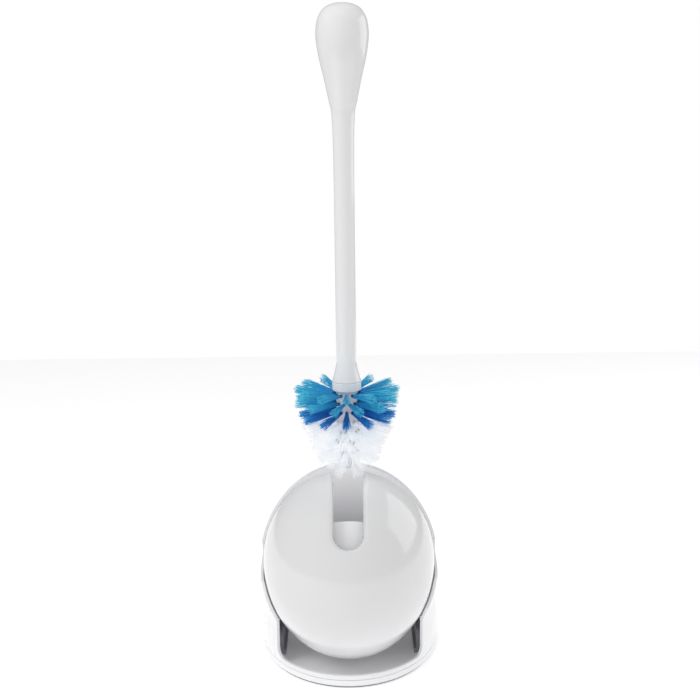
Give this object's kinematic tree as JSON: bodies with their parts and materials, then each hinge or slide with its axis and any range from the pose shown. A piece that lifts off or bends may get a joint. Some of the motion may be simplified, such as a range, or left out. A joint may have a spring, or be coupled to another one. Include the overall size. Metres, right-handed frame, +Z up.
{
  "type": "toilet brush holder",
  "caption": "Free-standing toilet brush holder whose ball cover swings open as the brush is lifted, with drip cup and slim-handled brush.",
  "frame": {"origin": "on the surface it stands on, under the middle of the object's bounding box", "axes": "+Z up along the brush, +X along the cover's pivot, the open front faces -Y"},
  "size_m": [0.148, 0.1636, 0.5281],
  "materials": {
    "housing_white": "moulded gloss",
    "tray_white": "moulded gloss",
    "foot_soft": "matt soft",
    "screw_steel": "bright",
    "bracket_grey": "matt moulded",
    "pin_steel": "ground",
    "pad_rubber": "matt",
    "cover_white": "polished moulded",
    "carrier_grey": "matt moulded",
    "cup_white": "satin moulded",
    "handle_white": "polished moulded",
    "stud_plastic": "threaded, matt",
    "head_white": "satin moulded",
    "bristle_blue": "crimped filament",
    "bristle_white": "crimped filament",
    "anchor_steel": "wire"
  },
  "bodies": {
    "housing": {"housing_shell": "housing_white", "base_tray": "tray_white", "foot_ring": "foot_soft", "base_screws": "screw_steel", "hinge_bracket_left": "bracket_grey", "hinge_bracket_right": "bracket_grey", "bracket_screws": "screw_steel", "pivot_pin_left": "pin_steel", "pivot_pin_right": "pin_steel", "stop_pads": "pad_rubber"},
    "cover": {"front_cover": "cover_white", "crank_left": "bracket_grey", "crank_right": "bracket_grey"},
    "cup": {"cup_carrier": "carrier_grey", "drip_cup": "cup_white"},
    "brush": {"handle": "handle_white", "handle_stud": "stud_plastic", "brush_head": "head_white", "blue_tufts_upper": "bristle_blue", "blue_tufts_middle": "bristle_blue", "blue_tufts_lower": "bristle_blue", "white_tufts_1": "bristle_white", "white_tufts_2": "bristle_white", "white_tufts_3": "bristle_white", "white_tufts_4": "bristle_white", "nose_tufts": "bristle_white", "tuft_anchors": "anchor_steel"}
  },
  "joints": [
    {"name": "cover_swing", "type": "hinge", "parent": "housing", "child": "cover", "pos_m": [0, 0, 0.086], "axis": [1, 0, 0], "range_deg": [-52, 0]},
    {"name": "cup_lift", "type": "slide", "parent": "housing", "child": "cup", "axis": [0, 0, 1], "range_m": [-0.0084, 0]},
    {"name": "brush_lift", "type": "slide", "parent": "housing", "child": "brush", "axis": [0, 0, 1], "range_m": [-0.141, 0.08], "deforming": ["blue_tufts_upper", "blue_tufts_middle", "blue_tufts_lower", "white_tufts_1", "white_tufts_2", "white_tufts_3", "white_tufts_4", "nose_tufts"]}
  ],
  "couplings": [
    {"joint": "cup_lift", "follows": "cover_swing", "m_per_rad": 0.009177}
  ]
}
